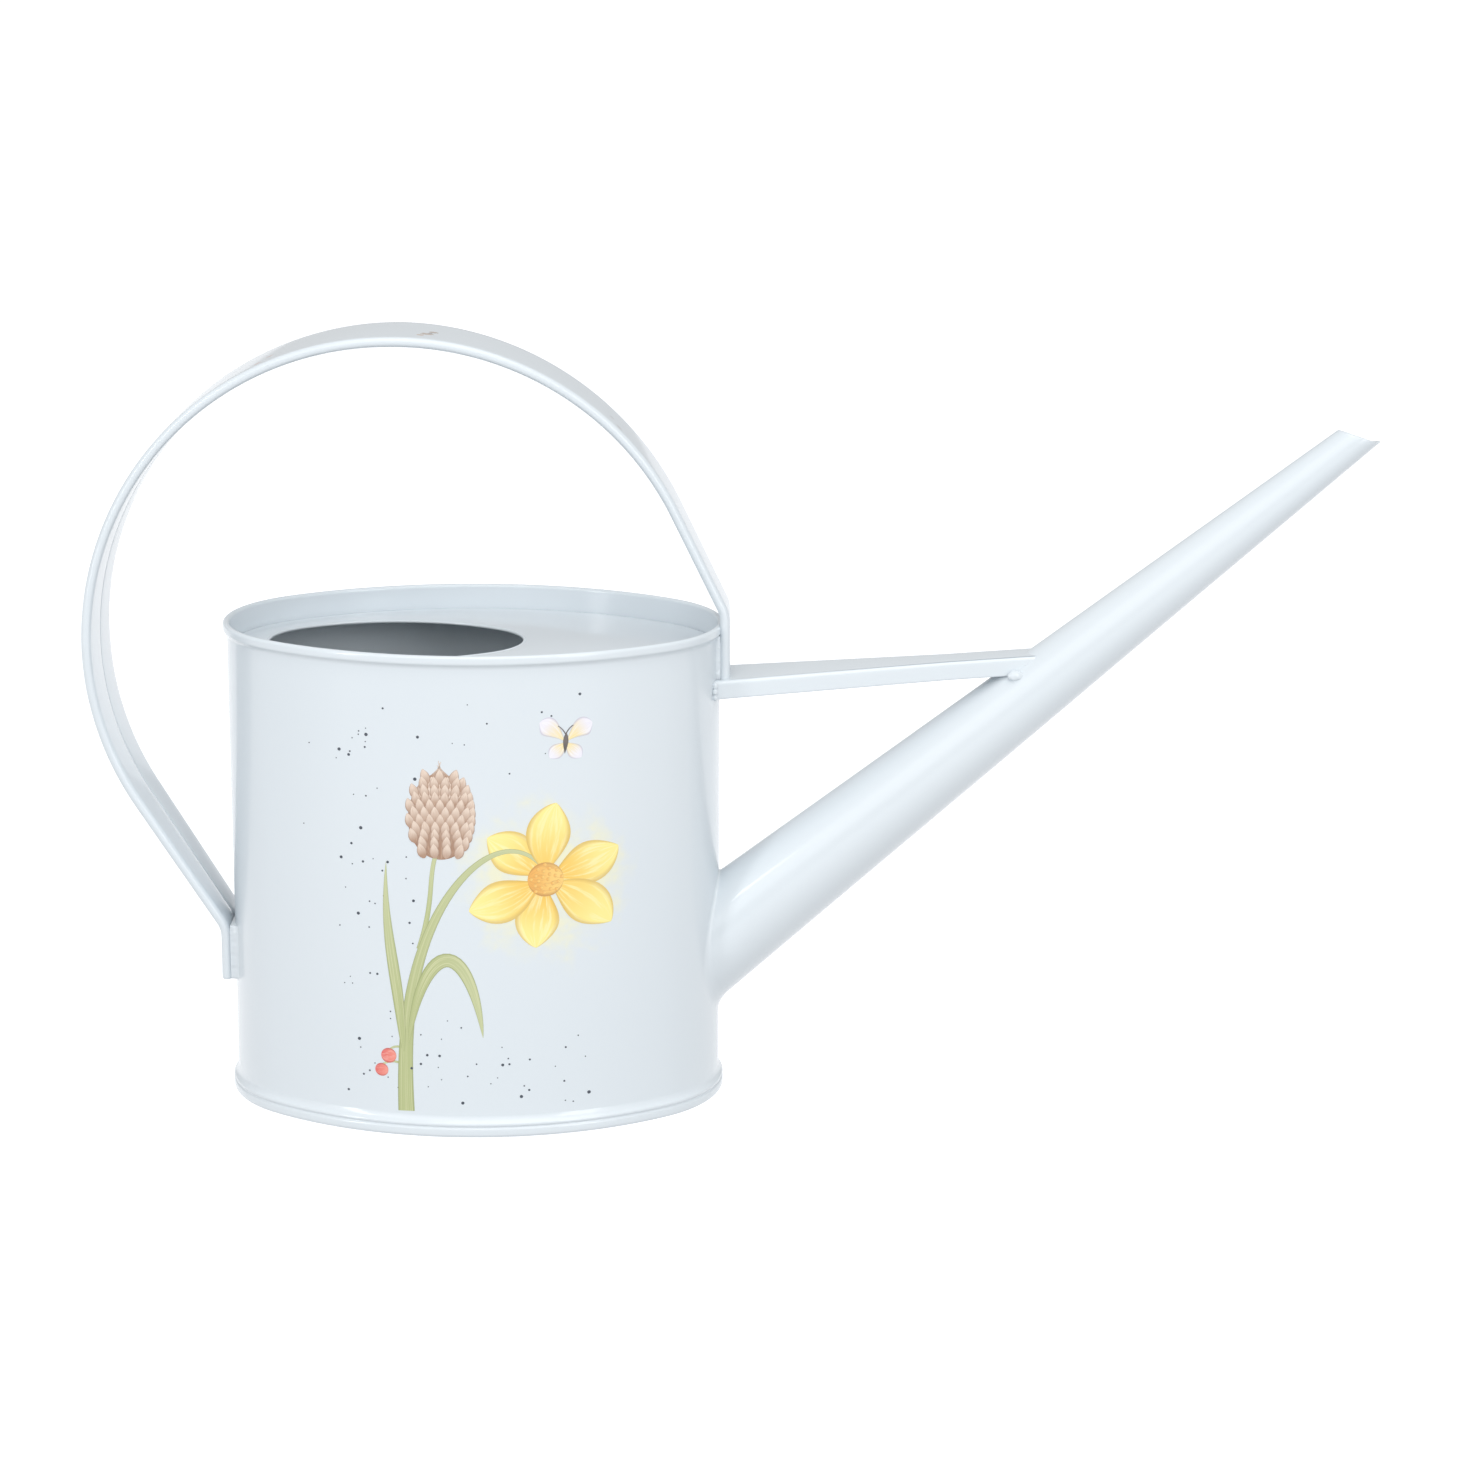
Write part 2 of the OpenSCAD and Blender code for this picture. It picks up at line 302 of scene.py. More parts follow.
def make_base():
    """The floor, the folded foot and the seam round the wall."""
    top = base_high.z
    foot_in = -2 * SHEET
    inside = [(foot_in, floor_top)] + arc((foot_in, floor_top + 0.7 * MM), 0.7 * MM, 270, 360, 6)[1:]
    hidden = [(-0.5 * SHEET, floor_top + 1 * MM), (-0.3 * SHEET, top + 2.6 * MM)]
    foot_round, floor_round = 0.4 * MM, 0.5 * MM
    under = [(0, 0), (-SHEET, 0)] + arc((foot_in + foot_round, foot_round), foot_round, 270, 180, 5)
    floor_corner = (foot_in - floor_round, floor_top - SHEET - floor_round)
    under += [(foot_in, 1.6 * MM)] + arc(floor_corner, floor_round, 0, 90, 5)
    rows = around(inside + hidden + seam_profile(top) + under, turns=None)
    rim_ring = body_ring + (foot_in - floor_round) * body_ways
    panel = 0.35 * MM

    def floor_rows(height, scales):
        made = []
        for scale in scales:
            step = panel * (1 - ease(np.array(scale), 0.80, 0.84))
            made.append(np.column_stack([rim_ring * scale, np.full(RING_COUNT, height + step - panel)]))
        return made

    scales = [0.985, 0.95, 0.9, 0.86, 0.84, 0.83, 0.82, 0.81, 0.80, 0.78, 0.7, 0.55, 0.4, 0.25, 0.12, 0.04]
    low = floor_rows(floor_top - SHEET + panel, scales)
    high = floor_rows(floor_top, scales[::-1])
    return skin("base_pan_with_seam", high + rows + low)


def make_cover():
    """The cover plate with its turned-down flange and the rolled hem of the filling opening."""
    flange_low = cover_low.z
    out = -SHEET + 0.02 * MM
    corner = 0.7 * MM
    rows = around(
        [(out, flange_low)]
        + line((out, flange_low), (out, cover_top - corner), 4)
        + arc((out - corner, cover_top - corner), corner, 0, 90, 8)[1:],
        turns=None,
    )
    hem_ring, hem_ways = oval(*OPENING, ring_turns)
    hem_ring = hem_ring - [OPENING_SHIFT, 0]
    hem_centre = (HEM_RADIUS, cover_top + COVER_DOME + HEM_RISE - HEM_RADIUS)
    outer = body_ring + (out - corner) * body_ways
    inner = hem_ring + 2.2 * HEM_RADIUS * hem_ways

    def plate(height, steps):
        made = []
        for step in steps:
            flat = outer + step * (inner - outer)
            rise = COVER_DOME * ease(np.array(step), 0.02, 0.8)
            waves = 0.07 * MM * np.sin(4 * ring_turns + 3 * step) * math.sin(math.pi * step)
            made.append(np.column_stack([flat, height + rise + waves]))
        return made

    steps = np.linspace(0, 1, 15)
    rows += plate(cover_top, steps[1:])
    rows += around(arc(hem_centre, HEM_RADIUS, 40, 296, 24), hem_ring, hem_ways, None)
    rows += plate(cover_top - SHEET, steps[::-1][1:-1])
    inside = out - SHEET
    rows += around(
        arc((out - corner, cover_top - corner - SHEET * 0.4), 0.25 * MM, 90, 0, 3)
        + line((inside + 0.3 * MM, cover_top - 2 * SHEET), (inside, flange_low), 4),
        turns=None,
    )
    return skin("cover_with_opening", rows, loop=True)


# ---------------------------------------------------------------- spout and brace

SPOUT_COUNT = 192
spout_turns = np.linspace(0, 2 * math.pi, SPOUT_COUNT, endpoint=False)
spout_ways = np.cos(spout_turns)[:, None] * spout_up + np.sin(spout_turns)[:, None] * np.array([0, 1, 0])


def cone_ring(along, grow):
    """A ring of the spout's cone, at one distance or at one distance per point."""
    along = np.broadcast_to(along, (SPOUT_COUNT,))
    radius = SPOUT_ROOT_RADIUS - spout_taper * along + grow
    return SPOUT_ROOT + along[:, None] * spout_way + radius[:, None] * spout_ways


def cone_to_wall(grow, depth):
    """Where the cone's lines come out of the body's end, at a depth inside its outer face."""

    def inside(along):
        points = cone_ring(along, grow)
        reach = np.hypot(points[:, 0] - half_length + END_RADIUS, points[:, 1])
        return reach < END_RADIUS - depth

    return find(inside, np.full(SPOUT_COUNT, -30 * MM), np.full(SPOUT_COUNT, 40 * MM))


def cone_to_tip(grow):
    """Where the cone's lines reach the tilted cut at the tip, which has a small beak at its low end."""
    normal = np.array([math.sin(TIP_CUT_TILT), TIP_CUT_LEAN, math.cos(TIP_CUT_TILT)])
    beak = TIP_BEAK * np.exp(-(((spout_turns - math.pi) / 0.4) ** 2))
    tip = SPOUT_ROOT + SPOUT_LENGTH * spout_way
    room = (tip - SPOUT_ROOT) @ normal - (SPOUT_ROOT_RADIUS + grow) * (spout_ways @ normal)
    return room / (spout_way @ normal - spout_taper * (spout_ways @ normal)) + beak


def spout_wave(along):
    """The spout's slight waviness along its length; it is zero at both ends."""
    part = np.clip(along / SPOUT_LENGTH, 0, 1)
    return 0.05 * MM * np.sin(math.pi * part) * np.sin(9 * part + 2 * np.cos(spout_turns))


def make_spout():
    """The tapered tube: outside up to the tip, round the lip, and back down the bore."""
    root = cone_to_wall(0, 0.35 * MM)
    tip = cone_to_tip(0)
    rows = []
    for part in np.linspace(0, 1, 110):
        along = root + part * (tip - root)
        rows.append(cone_ring(along, spout_wave(along)))
    lip = 0.5 * SHEET
    for turn in np.radians([18, 40, 65, 90, 115, 140, 162]):
        grow = -lip + lip * math.cos(turn)
        bulge = 0.25 * MM * math.sin(turn)
        rows.append(cone_ring(cone_to_tip(grow) + bulge, grow))
    inner_tip = cone_to_tip(-SHEET)
    inner_root = cone_to_wall(-SHEET, SHEET)
    for part in np.linspace(0, 1, 50):
        rows.append(cone_ring(inner_tip + part * (inner_root - inner_tip), -SHEET))
    return skin("spout_tube", rows, loop=True)


def make_root_bead():
    """A concave bead of solder and paint that blends the spout into the wall; it is widest underneath."""
    below = (1 - np.cos(spout_turns)) / 2
    leg = (1.6 + 3.2 * below**2) * MM
    sunk = 0.25 * MM
    root = cone_to_wall(0, 0)
    joint = cone_ring(root, 0)
    on_spout = cone_ring(root + leg, -0.01 * MM)
    wide = 0.9 * leg
    spread = joint + wide[:, None] * (spout_ways - (spout_ways @ spout_way)[:, None] * spout_way)
    on_wall = drop_on_end(spread, -0.01 * MM)
    rows = []
    for part in np.linspace(0, 1, 14):
        rows.append((1 - part) ** 2 * on_spout + 2 * part * (1 - part) * joint + part**2 * on_wall)
    rows.append(drop_on_end(on_wall, -sunk))
    rows.append(drop_on_end(joint, -sunk))
    rows.append(cone_ring(root + 0.2 * leg, -sunk))
    rows.append(cone_ring(root + leg, -sunk))
    return skin("spout_root_bead", rows, loop=True, sharp=60)


def drop_on_end(points, lift):
    """Moves points level onto the rounded end of the body at the spout, lifted off its face."""
    centre = np.array([half_length - END_RADIUS, 0])
    flat = points[:, :2] - centre
    flat = flat / np.linalg.norm(flat, axis=1)[:, None] * (END_RADIUS + lift) + centre
    return np.column_stack([flat, points[:, 2]])


def make_brace():
    """The folded channel between the wall and the spout."""
    bend, inner_bend = 1.3 * MM, 0.5 * MM
    edge = SHEET / 2
    flange = [-0.88, -0.72, -0.5, -0.36]
    spread = [-0.9, -0.86, -0.8, -0.6, -0.4, -0.2, 0, 0.2, 0.4, 0.6, 0.8, 0.86, 0.9]

    # Each point is (share of the half width, distance across, height below the top).
    def corner(side, radius, start, stop):
        return [(side, y, z) for y, z in arc((-side * bend, -bend), radius, start, stop, 6)]

    def hem(side, start, stop):
        return [(side, y, z) for y, z in arc((-side * edge, edge - BRACE_DEPTH), edge, start, stop, 4)]

    def leg(side, inset, shares):
        return [(side, -side * inset, f * BRACE_DEPTH) for f in shares]

    outer = hem(-1, 270, 180) + leg(-1, 0, flange) + corner(-1, bend, 180, 90)
    outer += [(f, 0, 0.12 * MM * (1 - f * f) - 0.02 * MM) for f in spread]
    outer += corner(1, bend, 90, 0) + leg(1, 0, flange[::-1]) + hem(1, 0, -90)
    inner = hem(-1, 270, 360) + leg(-1, SHEET, flange) + corner(-1, inner_bend, 180, 90)
    inner += [(f, 0, -SHEET) for f in spread]
    inner += corner(1, inner_bend, 90, 0) + leg(1, SHEET, flange[::-1]) + hem(1, 180, 270)
    outline = np.array(outer + inner[::-1])

    forward = np.array([math.cos(BRACE_SLOPE), 0, math.sin(BRACE_SLOPE)])
    upward = np.array([-math.sin(BRACE_SLOPE), 0, math.cos(BRACE_SLOPE)])

    def place(along):
        share = np.clip(along / BRACE_TAPER_LENGTH, 0, 1)
        half = BRACE_HALF_ROOT + (BRACE_HALF_TIP - BRACE_HALF_ROOT) * share
        across = outline[:, 0] * half + outline[:, 1]
        return (
            BRACE_START
            + along[:, None] * forward
            + across[:, None] * np.array([0, 1, 0])
            + outline[:, 2:] * upward
        )

    def short_of_wall(along):
        points = place(along)
        reach = np.hypot(points[:, 0] - half_length + END_RADIUS, points[:, 1])
        behind_tab = (np.abs(points[:, 1]) < HALF_FRONT) & (points[:, 0] < front_tab_x)
        return (reach < END_RADIUS - SHEET / 2) | behind_tab

    def short_of_spout(along):
        points = place(along) - SPOUT_ROOT
        run = points @ spout_way
        off = np.linalg.norm(points - run[:, None] * spout_way, axis=1)
        return off > SPOUT_ROOT_RADIUS - spout_taper * run - SHEET / 2

    count = len(outline)
    start = find(short_of_wall, np.full(count, -8 * MM), np.full(count, 20 * MM))
    stop = find(short_of_spout, np.full(count, 55 * MM), np.full(count, 108 * MM))
    rows = [place(start + part * (stop - start)) for part in np.linspace(0, 1, 60)]
    return skin("brace_channel", rows, caps="strip", sharp=40)


# ---------------------------------------------------------------- handle

def handle_path():
    """Stations along the middle of the strip (place in the XZ plane, heading), and the rear bend's height."""
    bend = 9 * MM
    step = 1.1 * MM
    front_x = LOOP_RADIUS * math.cos(FRONT_ANGLE) - LOOP_BACK
    front_z = LOOP_HEIGHT + LOOP_RADIUS * math.sin(FRONT_ANGLE)
    rear_x = -LOOP_RADIUS * math.cos(REAR_ANGLE) - LOOP_BACK
    rear_z = LOOP_HEIGHT - LOOP_RADIUS * math.sin(REAR_ANGLE)
    front_run = (front_tab_x - front_x) / math.sin(FRONT_ANGLE)
    rear_run = (rear_x - rear_tab_x) / -math.sin(REAR_ANGLE)
    front_bend = front_z - front_run * math.cos(FRONT_ANGLE)
    rear_bend = rear_z - rear_run * math.cos(REAR_ANGLE)
    front_cut = bend * math.tan(FRONT_ANGLE / 2)
    rear_cut = bend * math.tan(REAR_ANGLE / 2)
    whole = math.pi - FRONT_ANGLE + REAR_ANGLE
    # (length, turn) of each stretch, from the foot of the front tab to the foot of the rear tab
    stretches = [
        (front_bend - FRONT_TAB_END - front_cut, 0),
        (bend * FRONT_ANGLE, FRONT_ANGLE),
        (front_run - front_cut, 0),
        (LOOP_RADIUS * whole, whole),
        (rear_run - rear_cut, 0),
        (bend * REAR_ANGLE, -REAR_ANGLE),
        (rear_bend - REAR_TAB_END - rear_cut, 0),
    ]
    place = np.array([front_tab_x, FRONT_TAB_END])
    heading = math.pi / 2
    stations = [(place.copy(), heading)]
    for length, turn in stretches:
        count = max(5, int(length / step))
        for _ in range(count):
            middle = heading + turn / count / 2
            chord = length / count
            if turn:
                chord *= math.sin(abs(turn) / count / 2) / (abs(turn) / count / 2)
            place = place + chord * np.array([math.cos(middle), math.sin(middle)])
            heading += turn / count
            stations.append((place.copy(), heading))
    return stations, rear_bend


def strip_section(half_width, inset):
    """The folded strip as (distance across, distance outwards), with round hems and an open joint inside."""
    radius = HALF_STRIP - inset
    flat = half_width - inset - radius
    gap, lip, deep = HEM_GAP / 2, 0.15 * MM, 0.5 * MM
    crown = 0.1 * MM
    outside = [(flat * f, radius + crown * (1 - f * f)) for f in np.linspace(-1, 1, 13)[1:-1]]
    edge = arc((flat, 0), radius, 90, -90, 15)
    flap_end = gap + lip
    flap = []
    for f in (0.2, 0.4, 0.6, 0.8):
        pillow = crown * math.sin(math.pi * f)
        flap.append((flat + f * (flap_end - flat), -radius - pillow))
    mouth = arc((flap_end, lip - radius), lip, 270, 180, 5) + [(gap, 0), (gap, deep)]
    half = edge + flap + mouth
    other = [(-across, out) for across, out in half[::-1]]
    return outside + half + other


def make_handle():
    """The strip from the front tab, over the loop, to the rear tab; its two cut ends are slightly rounded."""
    stations, rear_bend = handle_path()
    # Millimetres along from each end, and how far the section is drawn in there.
    round_off = [(0.0, 0.45), (0.1, 0.2), (0.28, 0.06), (0.5, 0.0)]
    rows = []

    def half_width(x, z):
        to_front = np.clip((x + LOOP_BACK) / (front_tab_x + LOOP_BACK), 0, 1)
        to_rear = np.clip((LOOP_HEIGHT - z) / (LOOP_HEIGHT - rear_bend), 0, 1)
        front = HALF_GRIP + (HALF_FRONT - HALF_GRIP) * to_front
        rear = HALF_GRIP + (HALF_REAR - HALF_GRIP) * to_rear
        return front if x > -LOOP_BACK else min(front, rear)

    def ring(place, heading, inset):
        out = np.array([math.sin(heading), -math.cos(heading)])
        points = []
        for across, rise in strip_section(half_width(*place), inset):
            x, z = place + rise * out
            points.append((x, across, z))
        return points

    first, last = stations[0], stations[-1]
    for move, inset in round_off:
        shift = move * MM * np.array([math.cos(first[1]), math.sin(first[1])])
        rows.append(ring(first[0] + shift, first[1], inset * MM))
    for place, heading in stations[1:-1]:
        rows.append(ring(place, heading, 0))
    for move, inset in round_off[::-1]:
        shift = move * MM * np.array([math.cos(last[1]), math.sin(last[1])])
        rows.append(ring(last[0] - shift, last[1], inset * MM))
    return skin("handle_strip", rows, sharp=50)


# ---------------------------------------------------------------- welds

def blob(centre, size, seed):
    """A painted-over drop of weld: a lumpy rounded shell."""
    shape = bmesh.new()
    bmesh.ops.create_icosphere(shape, subdivisions=4, radius=1)
    for vertex in shape.verts:
        lump = 1 + 0.14 * noise.noise(vertex.co * 1.7 + Vector((seed, 0, 0)))
        vertex.co = Vector([c * s * lump for c, s in zip(vertex.co, size)]) + Vector(centre)
    mesh = bpy.data.meshes.new("drop")
    shape.to_mesh(mesh)
    shape.free()
    return mesh


def gap_filler(name, end, half_tab, half_wall, low, high):
    """Solder and paint in the gap between the wall and a tab; end is 1 at the spout, -1 at the rear."""
    face = half_length + 0.25 * MM
    sunk = 0.2 * MM
    middle = half_length - END_RADIUS
    rows = []
    for height in np.linspace(low, high, 40):
        wave = 0.07 * MM * math.sin(height * 1400) + 0.05 * MM * math.sin(height * 3100 + 1)
        taper_off = 0.5 * MM * (1 - math.sin(math.pi * (height - low) / (high - low)) ** 0.3)
        tab = half_tab + wave - taper_off
        wall = half_wall + wave - taper_off
        at_wall = middle + math.sqrt(END_RADIUS**2 - wall**2)
        hollow = [(face, tab), (at_wall + 0.25 * MM, tab + 0.1 * MM), (at_wall - sunk, wall)]
        side = bezier(hollow, np.linspace(0, 1, 9))
        across = np.linspace(wall, -wall, 24)[1:-1]
        behind = np.stack([middle + np.sqrt(END_RADIUS**2 - across**2) - sunk, across], -1)
        front = np.stack([np.full(12, face), np.linspace(-tab, tab, 14)[1:-1]], -1)
        ring = np.concatenate([side, behind, side[::-1] * [1, -1], front])
        rows.append(np.column_stack([end * ring[:, 0], ring[:, 1], np.full(len(ring), height)]))
    return skin(name, rows, sharp=60)


def weld_drops(name, node, size, across, step):
    """Drops in the places of a node's two weld solids, a share of the node's half width from the middle."""
    low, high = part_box(node)
    centre = (low + high) / 2
    count = max(1, round((high.z - low.z) / step))
    shape = bmesh.new()
    for side in (-1, 1):
        for i in range(count):
            z = centre.z + (i - (count - 1) / 2) * step
            y = side * (high.y * across + 0.15 * MM * math.sin(2.3 * i + side))
            mesh = blob((centre.x, y, z), size, 3.1 * i + 7 * side + 11)
            shape.from_mesh(mesh)
            bpy.data.meshes.remove(mesh)
    mesh = bpy.data.meshes.new(name)
    shape.to_mesh(mesh)
    shape.free()
    smooth(mesh, 60)
    return link(mesh, name)


# ---------------------------------------------------------------- print on the wall

def on_wall(across, height, lift):
    """Places on the front of the body, from the distance across, the height and the lift off the paint."""
    turns = -np.arccos(across / side_radius)
    reach = side_radius + ripple(turns, height) + lift
    return np.stack([reach * np.cos(turns), side_radius - half_depth + reach * np.sin(turns), height], -1)


def bezier(points, steps):
    """A smooth line that starts and ends at the first and last control points."""
    layers = [np.outer(np.ones_like(steps), point) for point in np.array(points, float)]
    while len(layers) > 1:
        layers = [a + steps[:, None] * (b - a) for a, b in zip(layers, layers[1:])]
    return layers[0]


def leaf(half, fullest=0.5):
    """Half widths of a leaf or petal that is widest at a share of its length."""
    power = math.log(0.5) / math.log(fullest)
    return lambda u: half * np.sin(math.pi * np.clip(u, 0.003, 0.997) ** power) ** 0.75


def taper(start, stop):
    """Half widths of a stroke that runs evenly from one width to another."""
    return lambda u: start + (stop - start) * u


def round_patch(radius):
    """Half widths of a round patch along its diameter."""
    return lambda u: radius * np.sqrt(np.maximum(1 - (2 * u - 1) ** 2, 0.001))


def blade(spine, shape, layer=0.0, seed=0.0, rows=22, columns=7):
    """A thin patch of ink along a line of control points (across, height) in millimetres."""
    steps = (1 - np.cos(np.linspace(0, math.pi, rows))) / 2
    middle = bezier(spine, steps)
    ahead = np.gradient(middle, steps, axis=0)
    ahead /= np.linalg.norm(ahead, axis=1)[:, None]
    side = np.stack([-ahead[:, 1], ahead[:, 0]], -1)
    shares = np.linspace(-1, 1, columns)
    flat = middle[:, None] + (shape(steps)[:, None] * shares)[..., None] * side[:, None]
    flat = flat * MM
    top = on_wall(flat[..., 0], flat[..., 1], (0.03 + 0.012 * layer) * MM)
    under = on_wall(flat[..., 0], flat[..., 1], -0.05 * MM)
    grain = np.stack([*np.meshgrid(steps, shares, indexing="ij"), np.full((rows, columns), seed)], -1)
    return top, under, grain


def dot(across, height, radius, layer=0.0, seed=0.0, rows=9, columns=5):
    spine = [(across - radius, height), (across + radius, height)]
    return blade(spine, round_patch(radius), layer, seed, rows, columns)


def ink_layer(name, blades):
    """One piece from closed patches; each vertex keeps where it lies in its patch."""
    points, faces, grains = [], [], []
    for top, under, grain in blades:
        rows, columns = top.shape[:2]
        first = sum(len(p) for p in points)
        index = first + np.arange(rows * columns).reshape(rows, columns)
        low = index + rows * columns
        edge = [*index[0], *index[1:, -1], *index[-1, -2::-1], *index[-2:0:-1, 0]]
        for a in (index, low):
            quads = np.stack([a[:-1, :-1], a[:-1, 1:], a[1:, 1:], a[1:, :-1]], -1).reshape(-1, 4)
            faces += (quads if a is index else quads[:, ::-1]).tolist()
        drop = rows * columns
        for a, b in zip(edge, edge[1:] + edge[:1]):
            faces.append((int(b), int(a), int(a + drop), int(b + drop)))
        points += [top.reshape(-1, 3), under.reshape(-1, 3)]
        grains += [grain.reshape(-1, 3)] * 2
    mesh = bpy.data.meshes.new(name)
    mesh.from_pydata(np.concatenate(points).tolist(), [], faces)
    attribute = mesh.attributes.new("grain", "FLOAT_VECTOR", "POINT")
    attribute.data.foreach_set("vector", np.concatenate(grains).ravel())
    turn_outwards(mesh)
    smooth(mesh)
    return link(mesh, name)


# Places and sizes in the print are in millimetres: distance across the front, height, and so on.
FLOWER = (24, 79)
SEED_HEAD = (-6.4, 98.5, 9.6, 13)
BUTTERFLY = (30, 120)


def flower_petals():
    """Six plain petals, the odd ones over the even ones."""
    blades = []
    for i in range(6):
        turn = math.radians(60 * i + 22)
        length = 20.5 + 1.6 * math.sin(2.7 * i)
        way = np.array([math.cos(turn), math.sin(turn)])
        side = np.array([-way[1], way[0]]) * (2.2 if i % 2 else -1.6)
        start = np.array(FLOWER) + 2 * way
        spine = [start, start + 0.5 * length * way + side, start + length * way]
        blades.append(blade(spine, leaf(6.4, 0.56), 1 + 2 * (i % 2), i * 1.7, 26, 9))
    return ink_layer("print_petals", blades)


def flower_centre():
    """A round centre under a spiral of small dots."""
    blades = [dot(*FLOWER, 5.2, 5, 0.3, 15, 11)]
    for i in range(22):
        turn = 2.4 * i
        reach = 1.02 * math.sqrt(i + 0.5)
        across = FLOWER[0] + reach * math.cos(turn)
        height = FLOWER[1] + reach * math.sin(turn)
        blades.append(dot(across, height, 0.55, 6.5, i * 0.9))
    return ink_layer("print_flower_centre", blades)


def stems_and_leaves():
    """The flower's stem, two leaves, the seed head's stem and the two berry stalks."""
    stem = [(-17.7, 7.5), (-18.6, 40), (-15.5, 62), (-4, 84), (12, 97), (23, 83)]
    blades = [
        blade(stem, lambda u: 1.9 * (1 - u) ** 1.4 + 0.55, 2, 1, 60, 7),
        blade([(-18.3, 26), (-19.5, 52), (-24, 60), (-22.6, 84)], leaf(1.7, 0.36), 3, 4, 36, 5),
        blade([(-16.8, 28), (-13.5, 56), (-2, 68), (4, 46), (5.4, 31)], leaf(2.1, 0.46), 3.6, 7, 40, 7),
        blade([(-13.2, 58), (-8, 74), (-10.5, 80), (-7.4, 88)], taper(0.75, 0.6), 1, 9, 24, 5),
        blade([(-18.6, 27), (-20.5, 28), (-22.4, 26.4)], taper(0.35, 0.3), 1, 2, 10, 3),
        blade([(-18.6, 22), (-21.5, 23.5), (-24.6, 21.6)], taper(0.35, 0.3), 1, 5, 10, 3),
    ]
    return ink_layer("print_stems_and_leaves", blades)


def seed_head():
    """A brown egg of overlapping scales with a tuft of bristles."""
    x, z, half, tall = SEED_HEAD
    egg = round_patch(half)
    blades = [blade([(x, z - tall), (x, z + tall)], lambda u: egg(u) * (1.06 - 0.16 * u), 1, 0, 30, 11)]
    rows = 11
    for i in range(rows):
        height = z - tall * 0.93 + i * tall * 1.72 / (rows - 1)
        room = half * math.sqrt(max(1 - ((height + 1.5 - z) / tall) ** 2, 0))
        count = max(2, round(room / 1.35))
        for k in range(count):
            shift = 0.5 if i % 2 and k < count - 1 else 0
            share = 2 * (k + shift) / (count - 1) - 1
            across = x + 0.86 * room * share
            tip = (across + 1.5 * share, height + 3.9)
            layer = 2 + (rows - i) * 0.55 + 0.25 * (k % 2)
            scale = [(across, height - 0.6), tip]
            blades.append(blade(scale, leaf(1.45, 0.42), layer, 0.37 * i + 0.61 * k, 9, 5))
    for k in range(9):
        turn = math.radians(90 + 11 * (k - 4))
        start = np.array([x + 0.7 * (k - 4), z + tall - 1.2])
        tip = start + (3.4 + 0.8 * (k % 3)) * np.array([math.cos(turn), math.sin(turn)])
        blades.append(blade([start, tip], taper(0.26, 0.08), 1.5, k, 8, 3))
    return ink_layer("print_seed_head", blades)


def berries():
    upper = dot(-22.8, 24.4, 2.3, 3, 0.2, 15, 9)
    lower = dot(-25, 19.8, 2.0, 2, 2.2, 15, 9)
    return ink_layer("print_berries", [upper, lower])


def butterfly():
    """Four wings round one place."""
    x, z = BUTTERFLY
    blades = [
        blade([(x, z), (x - 4, z + 5), (x - 7.4, z + 6.2)], leaf(2.9, 0.66), 1, 0.5),
        blade([(x, z), (x + 4, z + 4.6), (x + 7.6, z + 5.4)], leaf(2.9, 0.66), 1, 2.5),
        blade([(x, z), (x - 4.6, z - 4.4)], leaf(2.2, 0.6), 2, 4.5),
        blade([(x, z), (x + 4.4, z - 4.8)], leaf(2.2, 0.6), 2, 6.5),
    ]
    return ink_layer("print_butterfly_wings", blades)


def butterfly_body():
    """A slim body with two feelers."""
    x, z = BUTTERFLY
    blades = [blade([(x - 0.3, z - 3.4), (x + 0.2, z + 2.8)], leaf(0.75, 0.6), 4, 0)]
    for side in (-1, 1):
        feeler = [(x, z + 2.4), (x + side, z + 4.4), (x + 2.2 * side, z + 5)]
        blades.append(blade(feeler, taper(0.16, 0.12), 3, 1, 8, 3))
    return ink_layer("print_butterfly_body", blades)


def specks():
    """Loosely scattered dark specks, denser at the left and near the base."""
    chance = np.random.RandomState(11)
    blades = []
    for i in range(104):
        part = i % 8
        if part < 4:
            across, height = chance.normal(-29, 8), chance.uniform(10, 128)
        elif part < 7:
            across, height = chance.uniform(-34, 38), chance.normal(21, 9)
        else:
            across, height = chance.uniform(-30, 36), chance.uniform(108, 136)
        radius = 0.17 + 0.36 * chance.uniform() ** 2.2
        if abs(across) < 50 and 9 < height < 137:
            blades.append(dot(across, height, radius, 0.6 + 0.02 * i, chance.uniform(), 7, 4))
    return ink_layer("print_specks", blades)


# ---------------------------------------------------------------- camera, light and floor

CAMERA_AZIMUTH = math.radians(0.69)
CAMERA_ELEVATION = math.radians(14.2)
CAMERA_ROLL = math.radians(0.31)
CAMERA_DISTANCE = 1.130
CAMERA_LENS = 92.2
CAMERA_TARGET = Vector((0.0771, 0, 0.1126))


def way_to(azimuth, elevation):
    """The direction from the can to a camera or light; azimuth 0 is the front, and grows to the right."""
    level = math.cos(elevation)
    return Vector((math.sin(azimuth) * level, -math.cos(azimuth) * level, math.sin(elevation)))


def make_camera():
    """The camera looks slightly down at the front, from a little to the right."""
    data = bpy.data.cameras.new("camera")
    data.sensor_width = 36
    data.lens = CAMERA_LENS
    data.clip_end = 100
    camera = link(data, "camera")
    back = way_to(CAMERA_AZIMUTH, CAMERA_ELEVATION)
    camera.location = CAMERA_TARGET + CAMERA_DISTANCE * back
    facing = back.to_track_quat("Z", "Y").to_matrix().to_4x4()
    roll = Matrix.Rotation(CAMERA_ROLL, 4, "Z")
    camera.matrix_world = Matrix.Translation(camera.location) @ facing @ roll
    bpy.context.scene.camera = camera


LIT_PLACE = Vector((0.04, 0, 0.1))


